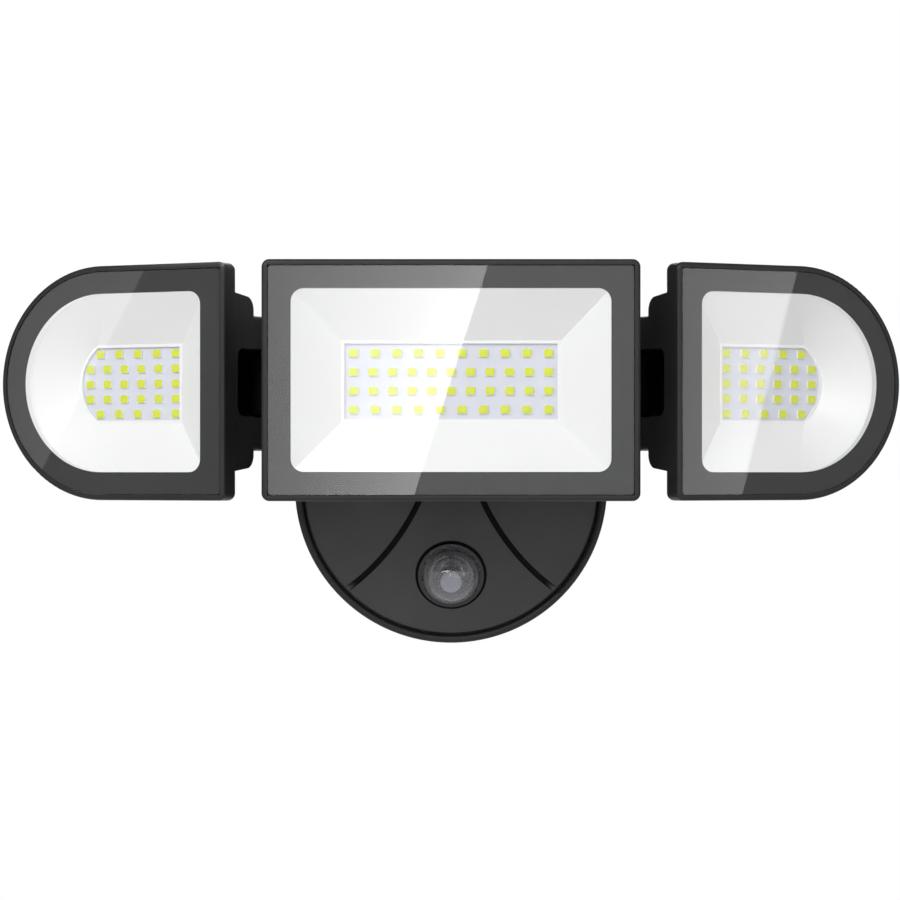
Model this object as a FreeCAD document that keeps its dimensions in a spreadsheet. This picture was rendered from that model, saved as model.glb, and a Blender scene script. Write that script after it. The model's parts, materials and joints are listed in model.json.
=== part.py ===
import FreeCAD, Part
import math
import os
import re

import Sketcher
from FreeCAD import Placement, Rotation, Vector

# A wall-mounted, three-headed LED floodlight with a dusk-to-dawn photocell.
# Millimetres. Origin: centre of the canopy's back face, on the wall.
# +Z is up, -Y points away from the wall, +X is to the right seen from the front.
# "Depth" below is the distance from the wall, measured along -Y. In a lamp head's own frame,
# x runs along the head's face and y runs back from its front plane.

SIZES = {
    # canopy
    "canopy_radius": 64.5,
    "gasket_thick": 2.0,
    "gasket_inner": 60.0,
    "gasket_outer": 63.9,
    "rim_depth": 30.0,
    "canopy_round": 1.5,
    "crown_rise": 13.7,
    "cover_radius": 60.2,
    "cover_gap": 1.0,
    "cover_thick": 3.2,
    "cover_seat": 26.0,
    "shoulder_depth": 11.0,
    "inner_radius": 57.5,
    "rear_bore": 61.0,
    "plate_thick": 2.0,
    # two curved grooves pressed into the cover
    "groove_offset": 99.0,
    "groove_height": 34.0,
    "groove_radius": 94.7,
    "groove_width": 2.4,
    "groove_cut": 2.2,
    # screw posts behind the cover
    "post_offset": 36.0,
    "post_radius": 4.2,
    "cover_screw": 1.6,
    # crossbar for a round or octagonal outlet box
    "bar_half_length": 58.5,
    "bar_width": 20.0,
    "bar_thick": 1.6,
    "ear_depth": 8.5,
    "box_screw_spacing": 88.9,
    "box_slot_half_width": 2.4,
    "box_slot_length": 10.0,
    "side_screw_depth": 6.0,
    "side_screw_radius": 1.8,
    # supply grommet
    "grommet_height": 30.0,
    "grommet_bore": 3.5,
    "grommet_radius": 6.0,
    # driver
    "driver_length": 76.0,
    "driver_height": 44.0,
    "board_thick": 1.6,
    "standoff": 4.0,
    # photocell
    "sensor_drop": 36.3,
    "collar_radius": 13.5,
    "collar_seat": 2.0,
    "collar_recess": 14.6,
    "collar_bore": 11.9,
    "barrel_radius": 12.2,
    "barrel_length": 9.0,
    "dome_radius": 11.7,
    "dome_wall": 1.2,
    "cup_radius": 8.1,
    "photocell_radius": 4.3,
    "photocell_rise": 8.4,
    # arm
    "arm_height": 41.0,
    "arm_depth": 62.0,
    "arm_radius": 12.5,
    "arm_half_length": 52.0,
    "arm_wall": 2.6,
    "end_wall": 4.0,
    "neck_radius": 14.0,
    "stub_radius": 10.0,
    "wire_bore": 7.0,
    "arm_screw_offset": 32.0,
    # lamp heads
    "front_depth": 122.0,
    "head_half_height": 46.0,
    "plate_depth": 10.3,
    "rim": 2.2,
    "rim_round": 1.3,
    "ledge_depth": 5.2,
    "glass_front": 0.5,
    "glass_thick": 4.0,
    "gasket_inset": 7.4,
    "lip_depth": 7.8,
    "hollow_depth": 13.0,
    "lip_inset": 8.0,
    "hollow_inset": 12.8,
    "well_inset": 15.0,
    "body_half_height": 34.7,
    "body_taper": 1.7,
    "body_back": 23.3,
    "board_depth": 18.6,
    "board_half_width": 56.0,
    "board_half_height": 30.0,
    "side_board_inset": 16.0,
    "reflector_front": 5.4,
    "flange_inset": 8.3,
    "reflector_edge": 10.9,
    "reflector_skin": 1.0,
    "aperture_lip": 1.2,
    "led_length": 3.6,
    "led_width": 3.2,
    "led_thick": 0.8,
    # centre head
    "centre_half_width": 72.0,
    "aperture_half_width": 41.1,
    "aperture_half_height": 14.6,
    "pivot_depth": 83.5,
    "lug_radius": 7.5,
    "lug_half_width": 6.0,
    "ear_radius": 8.0,
    "ear_thick": 4.5,
    "pivot_bolt": 2.5,
    # side heads
    "side_straight": 56.0,
    "side_yaw": 25.0,
    "pin_along": 2.7,
    "pin_back": 51.0,
    "pin_offset": 68.0,
    "yoke_half_height": 26.4,
    "yoke_radius": 13.6,
    "web_thick": 2.6,
    "web_end": 10.0,
    "slot_half_height": 13.5,
    "slot_depth": 8.0,
    "knuckle_radius": 13.0,
    "stem_radius": 11.0,
    "knuckle_half_height": 13.1,
    "yaw_bolt": 3.0,
    "tilt_bolt": 4.0,
    "side_aperture_start": 29.2,
    "side_aperture_end": 66.9,
    "side_aperture_centre": 56.4,
    "side_aperture_half_height": 14.5,
    # clearances
    "running_gap": 0.05,
    "joint_gap": 0.6,
}

# LED rows: how many packages each row holds, from the top row to the bottom one
CENTRE_ROWS = (10, 11, 11, 10)
SIDE_ROWS = (5, 6, 6, 6, 5)
CENTRE_ROW_HALF = 37.6
CENTRE_ROW_PITCH = 7.26
SIDE_ROW_START = 31.3
SIDE_ROW_PITCH = 5.96
SIDE_LED_PITCH = {5: 8.67, 6: 7.87}

doc = FreeCAD.newDocument("floodlight")
sheet = doc.addObject("Spreadsheet::Sheet", "Sizes")
finished = []


def fill_sheet():
    for row, (name, value) in enumerate(SIZES.items(), start=1):
        sheet.set(f"A{row}", name)
        sheet.set(f"B{row}", str(value))
        sheet.setAlias(f"B{row}", name)
    doc.recompute()


def bound(text):
    """The sizes named in an expression, written as references to the sheet."""
    return re.sub(r"[a-z_]+", lambda word: sheet_name(word[0]), str(text))


def sheet_name(word):
    return "Sizes." + word if word in SIZES else word


def number(text):
    return float(sheet.evalExpression(bound(text)))


def bind(thing, **properties):
    """Tie properties to expressions; a double underscore stands for a dot."""
    for name, text in properties.items():
        thing.setExpression(name.replace("__", "."), bound(text))


def place(thing, x=0, y=0, z=0, axis=None, angle=0):
    if axis is not None:
        thing.Placement = Placement(Vector(), Rotation(axis, 1.0))
        bind(thing, Placement__Rotation__Angle=angle)
    bind(thing, Placement__Base__x=x, Placement__Base__y=y, Placement__Base__z=z)


# ---------------------------------------------------------------- sketches

AXIS_X, AXIS_Y, AXIS_Z = Vector(1, 0, 0), Vector(0, 1, 0), Vector(0, 0, 1)
ORIGIN_POINT, X_LINE, Y_LINE = -1, -1, -2
START, END, CENTRE = 1, 2, 3


def new_body(label):
    body = doc.addObject("PartDesign::Body", label)
    body.AllowCompound = True
    return body


def new_sketch(body, name, plane="XZ_Plane", offset="0"):
    """A sketch on one of the body's own planes. On XZ_Plane the offset counts along -Y."""
    sketch = body.newObject("Sketcher::SketchObject", name)
    origin_plane = [item for item in body.Origin.OriginFeatures if item.Role == plane][0]
    sketch.AttachmentSupport = [(origin_plane, "")]
    sketch.MapMode = "FlatFace"
    bind(sketch, AttachmentOffset__Base__z=offset)
    return sketch


def fix_point(sketch, element, point, x=None, y=None):
    """Hold a sketch point at coordinates given as expressions."""
    for kind, text, line in (("DistanceX", x, Y_LINE), ("DistanceY", y, X_LINE)):
        if text is None:
            continue
        if number(text) == 0:
            sketch.addConstraint(Sketcher.Constraint("PointOnObject", element, point, line))
            continue
        constraint = Sketcher.Constraint(kind, ORIGIN_POINT, START, element, point, number(text))
        index = sketch.addConstraint(constraint)
        sketch.setExpression(f"Constraints[{index}]", bound(text))


def draw_loop(sketch, points, arcs=None):
    """A closed outline through points. arcs maps a side's index to its arc's centre."""
    arcs = arcs or {}
    spots = [Vector(number(x), number(y), 0) for x, y in points]
    count = len(spots)
    first = sketch.GeometryCount
    area = sum(spots[i].cross(spots[(i + 1) % count]).z for i in range(count))
    joints = []
    for i, spot in enumerate(spots):
        following = spots[(i + 1) % count]
        if i in arcs:
            middle = Vector(number(arcs[i][0]), number(arcs[i][1]), 0)
            forward = turns_forward(middle, spot, following, area > 0)
            ends = (spot, following) if forward else (following, spot)
            sketch.addGeometry(arc_between(middle, *ends))
            joints.append((START, END) if forward else (END, START))
        else:
            sketch.addGeometry(Part.LineSegment(spot, following))
            joints.append((START, END))
    for i in range(count):
        nearby = (i + 1) % count
        sketch.addConstraint(
            Sketcher.Constraint("Coincident", first + i, joints[i][1], first + nearby, joints[nearby][0])
        )
    for i, (x, y) in enumerate(points):
        fix_point(sketch, first + i, joints[i][0], x, y)
    for i, (x, y) in arcs.items():
        chord = spots[(i + 1) % count] - spots[i]
        flat = abs(chord.x) > abs(chord.y)
        fix_point(sketch, first + i, CENTRE, None if flat else x, y if flat else None)


def turns_forward(middle, start, end, loop_forward):
    """Whether the arc from start to end about middle runs counter-clockwise. A half circle
    follows the loop's own direction, and any other arc takes the short way."""
    side = (start - middle).cross(end - middle).z
    if abs(side) < 1e-6:
        return loop_forward
    return side > 0


def arc_between(middle, start, end):
    """The counter-clockwise arc about middle from start to end."""
    angles = [math.atan2(spot.y - middle.y, spot.x - middle.x) for spot in (start, end)]
    circle = Part.Circle(middle, AXIS_Z, (start - middle).Length)
    return Part.ArcOfCircle(circle, *angles)


def draw_circle(sketch, radius, x="0", y="0"):
    index = sketch.addGeometry(Part.Circle(Vector(number(x), number(y), 0), AXIS_Z, number(radius)))
    fix_point(sketch, index, CENTRE, x, y)
    constraint = sketch.addConstraint(Sketcher.Constraint("Radius", index, number(radius)))
    sketch.setExpression(f"Constraints[{constraint}]", bound(radius))


def draw_rectangle(sketch, left, right, bottom, top):
    draw_loop(sketch, [(left, bottom), (right, bottom), (right, top), (left, top)])


def draw_centred(sketch, half_width, half_height):
    draw_rectangle(sketch, f"-({half_width})", half_width, f"-({half_height})", half_height)


def draw_head_outline(sketch, side, inset="0", flat_inset=None, half_height="head_half_height"):
    """A lamp head's outline, inset evenly. side is 0 for the centre head, which is a rectangle,
    and 1 or -1 for the side heads: a flat end near the arm and a half-round outer end."""
    if side == 0:
        draw_centred(sketch, f"centre_half_width - ({inset})", f"{half_height} - ({inset})")
        return
    flat = inset if flat_inset is None else flat_inset
    top = f"{half_height} - ({inset})"
    near, far = f"{side}*({flat})", f"{side}*side_straight"
    draw_loop(
        sketch,
        [(near, f"-({top})"), (far, f"-({top})"), (far, top), (near, top)],
        arcs={1: (far, "0")},
    )


# ---------------------------------------------------------------- features

def pad(body, sketch, length, backward=False):
    feature = body.newObject("PartDesign::Pad", sketch.Name + "_pad")
    feature.Profile = sketch
    feature.Reversed = backward
    bind(feature, Length=length)
    return feature


def pocket(body, sketch, length, backward=True):
    """Cuts along the sketch's normal when backward is true, and against it otherwise."""
    before = body_volume(body)
    feature = body.newObject("PartDesign::Pocket", sketch.Name + "_cut")
    feature.Profile = sketch
    feature.Reversed = backward
    bind(feature, Length=length)
    doc.recompute()
    if body_volume(body) > before - 0.01:
        raise RuntimeError(f"{feature.Name} removed nothing")
    return feature


def body_volume(body):
    doc.recompute()
    return body.Shape.Volume


def revolve(body, sketch):
    feature = body.newObject("PartDesign::Revolution", sketch.Name + "_turn")
    feature.Profile = sketch
    feature.ReferenceAxis = (sketch, ["V_Axis"])
    feature.Angle = 360
    return feature


def loft(body, kind, front, back):
    feature = body.newObject(f"PartDesign::{kind}Loft", front.Name + "_loft")
    feature.Profile = front
    feature.Sections = [back]
    feature.Ruled = True
    return feature


def round_edges(body, feature, radius, wanted):
    """Fillets the edges whose middle point passes the test."""
    doc.recompute()
    names = []
    for index, edge in enumerate(feature.Shape.Edges, start=1):
        middle = edge.valueAt((edge.FirstParameter + edge.LastParameter) / 2)
        if wanted(middle, edge):
            names.append(f"Edge{index}")
    fillet = body.newObject("PartDesign::Fillet", feature.Name + "_round")
    fillet.Base = (feature, names)
    bind(fillet, Radius=radius)
    return fillet


def runs_along_depth(edge):
    start, end = edge.Vertexes[0].Point, edge.Vertexes[-1].Point
    return abs(start.x - end.x) + abs(start.z - end.z) < 0.01 and abs(start.y - end.y) > 0.1


def turned(label, profile):
    """A body turned about its own Y axis from a profile of (radius, y) points."""
    body = new_body(label)
    sketch = new_sketch(body, label + "_profile", "XY_Plane")
    draw_loop(sketch, profile)
    revolve(body, sketch)
    return body


def keep(thing, label):
    thing.Label = label
    finished.append(thing)
    return thing


# ---------------------------------------------------------------- simple solids

TOWARDS_ROOM = (AXIS_X, 90)
TOWARDS_WALL = (AXIS_X, -90)
TOWARDS_RIGHT = (AXIS_Y, 90)
UPWARDS = (AXIS_Z, 0)


def cylinder(name, radius, length, x=0, y=0, z=0, heading=UPWARDS):
    solid = doc.addObject("Part::Cylinder", name)
    bind(solid, Radius=radius, Height=length)
    place(solid, x, y, z, *heading)
    return solid


def hexagon(name, radius, length, x=0, y=0, z=0, heading=UPWARDS):
    solid = doc.addObject("Part::Prism", name)
    solid.Polygon = 6
    bind(solid, Circumradius=radius, Height=length)
    place(solid, x, y, z, *heading)
    return solid


def box(name, length, width, height, x=0, y=0, z=0):
    """A box that is centred on x and z and starts at y."""
    solid = doc.addObject("Part::Box", name)
    bind(solid, Length=length, Width=width, Height=height)
    place(solid, f"{x} - ({length})/2", y, f"{z} - ({height})/2")
    return solid


def cut(name, base, *tools):
    for index, tool in enumerate(tools):
        result = doc.addObject("Part::Cut", f"{name}_{index}")
        result.Base = base
        result.Tool = tool
        base = result
    return base


def fuse(name, *solids):
    result = doc.addObject("Part::MultiFuse", name)
    result.Shapes = list(solids)
    result.Refine = True
    return result


def common(name, *solids):
    result = doc.addObject("Part::MultiCommon", name)
    result.Shapes = list(solids)
    return result


def group(name, solids):
    result = doc.addObject("Part::Compound", name)
    result.Links = solids
    return result


def screw(name, shank, length, head, head_length, x, y, z, heading=TOWARDS_ROOM):
    """A socket screw. Its head starts at the given point and its shank follows."""
    turn = Rotation(*heading).multVec(AXIS_Z)
    steps = [f"({head_length})*{round(part)}" for part in (turn.x, turn.y, turn.z)]
    shank_start = [f"{base} + {step}" for base, step in zip((x, y, z), steps)]
    head_solid = cylinder(name + "_head", head, head_length, x, y, z, heading)
    socket = hexagon(name + "_socket", f"({head})*0.55", f"({head_length})*0.55", x, y, z, heading)
    shank_solid = cylinder(name + "_shank", shank, length, *shank_start, heading)
    return fuse(name, cut(name + "_drive", head_solid, socket), shank_solid)


# ---------------------------------------------------------------- canopy

BACK_OF_RIM = "-rim_depth"
SPHERE_RADIUS = "((cover_radius^2 + crown_rise^2)/(2*crown_rise))"
SPHERE_CENTRE = f"({SPHERE_RADIUS} - rim_depth - crown_rise)"


def dome_y(radius, inward="0"):
    """The y of the cover's spherical face, or of one further in, at a distance from the axis."""
    return f"{SPHERE_CENTRE} - sqrt(({SPHERE_RADIUS} - {inward})^2 - ({radius})^2)"


def sphere(name, inward="0"):
    solid = doc.addObject("Part::Sphere", name)
    bind(solid, Radius=f"{SPHERE_RADIUS} - {inward}")
    place(solid, 0, SPHERE_CENTRE, 0)
    return solid


def make_wall_gasket():
    body = new_body("wall_gasket")
    sketch = new_sketch(body, "gasket_ring")
    draw_circle(sketch, "gasket_outer")
    draw_circle(sketch, "gasket_inner")
    pad(body, sketch, "gasket_thick")
    keep(body, "wall_gasket")


def make_base_housing():
    bore = "cover_radius + cover_gap"
    profile = [
        ("rear_bore", "-gasket_thick"),
        ("canopy_radius", "-gasket_thick"),
        ("canopy_radius", BACK_OF_RIM),
        (bore, BACK_OF_RIM),
        (bore, "-cover_seat"),
        ("inner_radius", "-cover_seat"),
        ("inner_radius", "-shoulder_depth"),
        ("rear_bore", "-shoulder_depth"),
    ]
    body = turned("canopy_wall", profile)
    turn = body.Tip
    front = round_edges(body, turn, "canopy_round", lambda p, e: abs(p.y + SIZES["rim_depth"]) < 0.01)
    round_edges(
        body, front, "0.5",
        lambda p, e: abs(p.y + SIZES["gasket_thick"]) < 0.01 and outside(p, 62),
    )
    holes = []
    for side in (-1, 1):
        x, angle = f"{side}*50", 90 * side
        holes.append(
            cylinder(f"side_hole_{side}", "side_screw_radius + running_gap", "20", x, "-side_screw_depth",
                     0, (AXIS_Y, angle))
        )
        holes.append(
            cylinder(f"side_recess_{side}", "3.4", "5", f"{side}*(canopy_radius - 2.1)",
                     "-side_screw_depth", 0, (AXIS_Y, angle))
        )
    keep(cut("base_housing", body, *holes), "base_housing")


def outside(point, radius):
    return point.x * point.x + point.z * point.z > radius * radius


def tilted_with_sensor(solid, back="0"):
    """Puts a solid at the photocell, which sits square to the cover's curve. Its y is along
    the photocell's axis, with the cover's surface at 0."""
    angle = f"asin(sensor_drop/{SPHERE_RADIUS})"
    centre_y = dome_y("sensor_drop")
    turn = 90 if solid.TypeId == "Part::Cylinder" else 0
    place(
        solid, 0, f"{centre_y} + ({back})*cos({angle})", f"-sensor_drop + ({back})*sin({angle})",
        AXIS_X, f"{angle} + {turn} deg",
    )
    return solid


def post_positions():
    return [(f"{x}*post_offset", f"{z}*post_offset") for x in (-1, 1) for z in (-1, 1)]


def make_base_cover():
    profile = [
        ("0", dome_y("0")),
        ("cover_radius", BACK_OF_RIM),
        ("cover_radius", "-cover_seat"),
        ("inner_radius + 0.2", "-cover_seat"),
        ("inner_radius + 0.2", dome_y("inner_radius + 0.2", "cover_thick")),
        ("0", dome_y("0", "cover_thick")),
    ]
    shell = new_body("cover_shell")
    sketch = new_sketch(shell, "cover_profile", "XY_Plane")
    draw_loop(sketch, profile, arcs={0: ("0", SPHERE_CENTRE), 4: ("0", SPHERE_CENTRE)})
    revolve(shell, sketch)

    posts = []
    screw_holes = []
    plate_front = "-(shoulder_depth)"
    for index, (x, z) in enumerate(post_positions()):
        post = cylinder(f"post_{index}", "post_radius", "30", x, plate_front, z, TOWARDS_ROOM)
        posts.append(common(f"post_{index}_trimmed", post, sphere(f"post_end_{index}", "1")))
        screw_holes.append(
            cylinder(f"post_hole_{index}", "cover_screw", "16", x, plate_front, z, TOWARDS_ROOM)
        )
    nut_boss = cylinder("neck_boss", "17", "20", 0, "-28", "arm_height", TOWARDS_ROOM)
    posts.append(common("neck_boss_trimmed", nut_boss, sphere("neck_boss_end", "1")))

    grooves = []
    for side in (-1, 1):
        x = f"{side}*groove_offset"
        spots = (x, BACK_OF_RIM, "groove_height", TOWARDS_ROOM)
        ring = cut(
            f"groove_ring_{side}",
            cylinder(f"groove_outer_{side}", "groove_radius + groove_width/2", "20", *spots),
            cylinder(f"groove_inner_{side}", "groove_radius - groove_width/2", "20", *spots),
        )
        grooves.append(cut(f"groove_{side}", ring, sphere(f"groove_floor_{side}", "groove_cut")))
    neck_hole = cylinder("neck_hole", "stub_radius + 0.1", "40", 0, "-20", "arm_height", TOWARDS_ROOM)
    recess = tilted_with_sensor(cylinder("sensor_recess", "collar_recess", "8"), "collar_seat")
    hole = tilted_with_sensor(cylinder("sensor_hole", "barrel_radius + 0.1", "12"), "8")
    solid = fuse("cover_solid", shell, *posts)
    keep(cut("base_cover", solid, *grooves, neck_hole, recess, hole, *screw_holes), "base_cover")


def make_rear_plate():
    body = new_body("plate_disc")
    sketch = new_sketch(body, "plate_outline", offset="shoulder_depth - plate_thick")
    draw_circle(sketch, "rear_bore - 0.2")
    draw_circle(sketch, "grommet_bore + 1", "0", "grommet_height")
    for x, z in post_positions():
        draw_circle(sketch, "cover_screw + 0.05", x, z)
    pad(body, sketch, "plate_thick")
    standoffs = [
        cylinder(f"standoff_{index}", "2.6", "standoff", x, "-shoulder_depth", z, TOWARDS_ROOM)
        for index, (x, z) in enumerate(board_corners())
    ]
    keep(fuse("rear_plate", body, *standoffs), "rear_plate")


def board_corners():
    half = ("(driver_length/2 - 5)", "(driver_height/2 - 5)")
    return [(f"{x}*{half[0]}", f"{z}*{half[1]} - 4") for x in (-1, 1) for z in (-1, 1)]


def make_crossbar():
    """A steel bar with slots for the outlet box and an ear at each end for a side screw."""
    bar = box("bar_flat", "2*bar_half_length", "bar_thick", "bar_width", 0, "-bar_thick", 0)
    ears = []
    holes = [cylinder("bar_centre_hole", "5", "6", 0, "1", 0, TOWARDS_ROOM)]
    for side in (-1, 1):
        x = f"{side}*(bar_half_length - bar_thick/2)"
        ears.append(box(f"bar_ear_{side}", "bar_thick", "ear_depth", "bar_width", x, "-ear_depth", 0))
        screw_start = f"{side}*(bar_half_length - 5)"
        holes.append(
            cylinder(f"bar_ear_hole_{side}", "side_screw_radius", "10", screw_start,
                     "-side_screw_depth", 0, (AXIS_Y, 90 * side))
        )
        holes.append(slot_cutter(side))
    keep(cut("mount_crossbar", fuse("bar_bent", bar, *ears), *holes), "mount_crossbar")


def slot_cutter(side):
    body = new_body(f"bar_slot_{side}".replace("-", "m"))
    sketch = new_sketch(body, body.Name + "_outline", offset="-1")
    middle = f"{side}*box_screw_spacing/2"
    reach = "(box_slot_length/2 - box_slot_half_width)"
    left, right = f"{middle} - {reach}", f"{middle} + {reach}"
    low, high = "-box_slot_half_width", "box_slot_half_width"
    draw_loop(
        sketch,
        [(left, low), (right, low), (right, high), (left, high)],
        arcs={1: (right, "0"), 3: (left, "0")},
    )
    pad(body, sketch, "6")
    return body


def make_canopy_screws():
    """Two screws through the canopy wall into the crossbar's ears."""
    screws = [
        screw(f"side_screw_{side}", "side_screw_radius", "6.5", "3.1", "1.8",
              f"{side}*(canopy_radius - 0.2)", "-side_screw_depth", 0, (AXIS_Y, -90 * side))
        for side in (-1, 1)
    ]
    keep(group("canopy_screws", screws), "canopy_screws")


def make_cover_screws():
    """Four screws through the rear plate into the cover's posts."""
    head = "-(shoulder_depth - plate_thick - 2)"
    screws = [
        screw(f"cover_screw_{index}", "cover_screw", "13", "3", "2", x, head, z)
        for index, (x, z) in enumerate(post_positions())
    ]
    keep(group("cover_screws", screws), "cover_screws")


def make_driver():
    """The LED driver: a board on standoffs with its transformer, capacitors and terminals."""
    board_front = "-(shoulder_depth + standoff + board_thick)"
    board = new_body("driver_board")
    sketch = new_sketch(board, "driver_outline", offset="shoulder_depth + standoff")
    low, high = "-driver_height/2 - 4", "driver_height/2 - 4"
    draw_rectangle(sketch, "-driver_length/2", "driver_length/2", low, high)
    pad(board, sketch, "board_thick")
    keep(board, "driver_board")

    core = box("core", "22", "13", "16", "-16", f"{board_front} - 13", "-6")
    winding = cylinder("winding", "8.2", "11", "-16", f"{board_front} - 1", "-6", TOWARDS_ROOM)
    keep(fuse("driver_transformer", core, winding), "driver_transformer")

    cans = [
        cylinder(f"can_{index}", radius, height, x, board_front, "-8", TOWARDS_ROOM)
        for index, (radius, height, x) in enumerate((("5", "12", "4"), ("4", "10", "15")))
    ]
    keep(group("driver_capacitors", cans), "driver_capacitors")

    block = box("block", "9", "9", "22", "30", f"{board_front} - 9", "-6")
    entries = [
        cylinder(f"entry_{index}", "1.6", "6", "30", f"{board_front} - 4.5", f"{index*7} - 13",
                 TOWARDS_RIGHT)
        for index in range(3)
    ]
    keep(cut("terminal_block", block, *entries), "terminal_block")


def make_supply_grommet():
    profile = [
        ("grommet_bore", "-(shoulder_depth - plate_thick - 1.5)"),
        ("grommet_radius", "-(shoulder_depth - plate_thick - 1.5)"),
        ("grommet_radius", "-(shoulder_depth - plate_thick)"),
        ("grommet_bore + 1", "-(shoulder_depth - plate_thick)"),
        ("grommet_bore + 1", "-shoulder_depth"),
        ("grommet_radius", "-shoulder_depth"),
        ("grommet_radius", "-(shoulder_depth + 1.5)"),
        ("grommet_bore", "-(shoulder_depth + 1.5)"),
    ]
    body = turned("grommet", profile)
    place(body, 0, 0, "grommet_height")
    keep(body, "supply_grommet")


# ---------------------------------------------------------------- photocell

def make_sensor():
    """The photocell: a collar through the cover, a clear dome and the cell on its cup."""
    collar_profile = [
        ("barrel_radius - 1.4", "barrel_length"),
        ("barrel_radius", "barrel_length"),
        ("barrel_radius", "collar_seat"),
        ("collar_radius", "collar_seat"),
        ("collar_radius", "-0.6"),
        ("collar_bore", "-0.6"),
        ("collar_bore", "2.2"),
        ("barrel_radius - 1.4", "2.2"),
    ]
    collar = turned("sensor_collar", collar_profile)
    keep(tilted_with_sensor(collar), "sensor_collar")

    dome = new_body("sensor_dome")
    sketch = new_sketch(dome, "dome_profile", "XY_Plane")
    inner = "(dome_radius - dome_wall)"
    draw_loop(
        sketch,
        [
            (inner, "2.2"),
            ("dome_radius", "2.2"),
            ("dome_radius", "0"),
            ("0", "-dome_radius"),
            ("0", f"-{inner}"),
            (inner, "0"),
        ],
        arcs={2: ("0", "0"), 4: ("0", "0")},
    )
    revolve(dome, sketch)
    keep(tilted_with_sensor(dome), "sensor_dome")

    cup_profile = [
        ("0", "4"),
        ("cup_radius + 1.6", "4"),
        ("cup_radius + 1.6", "2.4"),
        ("cup_radius", "2.4"),
        ("cup_radius", "-4.2"),
        ("cup_radius - 2.4", "-5.4"),
        ("photocell_radius + 0.8", "-photocell_rise + 0.4"),
        ("0", "-photocell_rise + 0.4"),
    ]
    cup = turned("sensor_cup", cup_profile)
    keep(tilted_with_sensor(cup), "sensor_cup")

    cell_profile = [
        ("0", "-photocell_rise + 0.4"),
        ("photocell_radius", "-photocell_rise + 0.4"),
        ("photocell_radius", "-photocell_rise - 0.4"),
        ("photocell_radius - 0.5", "-photocell_rise - 0.9"),
        ("0", "-photocell_rise - 0.9"),
    ]
    cell = turned("photocell", cell_profile)
    keep(tilted_with_sensor(cell), "photocell")

    board = turned("sensor_board", [("0", "5.6"), ("9.6", "5.6"), ("9.6", "4"), ("0", "4")])
    keep(tilted_with_sensor(board), "sensor_board")

    seal_profile = [
        ("barrel_radius + 0.1", "4.4"),
        ("barrel_radius + 2", "4.4"),
        ("barrel_radius + 2", "6"),
        ("barrel_radius + 0.1", "6"),
    ]
    seal = turned("sensor_seal", seal_profile)
    keep(tilted_with_sensor(seal), "sensor_seal")


# ---------------------------------------------------------------- arm

ARM = {"y": "-arm_depth", "z": "arm_height"}


def half_space(name, behind):
    """A box that covers everything in front of or behind the arm's parting plane."""
    start = "-arm_depth" if behind else "-arm_depth - 60"
    return box(name, "200", "60", "120", 0, start, "arm_height")


def arm_tube(name):
    length = "2*arm_half_length"
    outer = cylinder(
        name + "_skin", "arm_radius", length, "-arm_half_length", heading=TOWARDS_RIGHT, **ARM,
    )
    inner = cylinder(
        name + "_bore", "arm_radius - arm_wall", f"{length} - 2*end_wall",
        "-arm_half_length + end_wall", heading=TOWARDS_RIGHT, **ARM,
    )
    bolts = cylinder(
        name + "_bolt_way", "tilt_bolt + running_gap", f"{length} + 2", "-arm_half_length - 1",
        heading=TOWARDS_RIGHT, **ARM,
    )
    return cut(name + "_tube", outer, inner, bolts)


def arm_boss(name, behind):
    """Screw bosses that meet at the parting plane, one pair each side of the neck."""
    bosses = []
    for side in (-1, 1):
        start = "-arm_depth + arm_radius - 2" if behind else "-arm_depth"
        length = "arm_radius - 2" if behind else "arm_radius - 1.5"
        x = f"{side}*arm_screw_offset"
        bosses.append(
            cylinder(f"{name}_boss_{side}", "4", length, x, start, "arm_height", TOWARDS_ROOM)
        )
    return bosses


def arm_screw_ways(name):
    ways = []
    for side in (-1, 1):
        x = f"{side}*arm_screw_offset"
        ways.append(
            cylinder(f"{name}_way_{side}", "1.65", "arm_radius + 4", x, "-arm_depth + arm_radius - 1",
                     "arm_height", TOWARDS_ROOM)
        )
        ways.append(
            cylinder(f"{name}_head_way_{side}", "3.4", "4.5", x, "-arm_depth + arm_radius + 2",
                     "arm_height", TOWARDS_ROOM)
        )
    return ways


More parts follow.
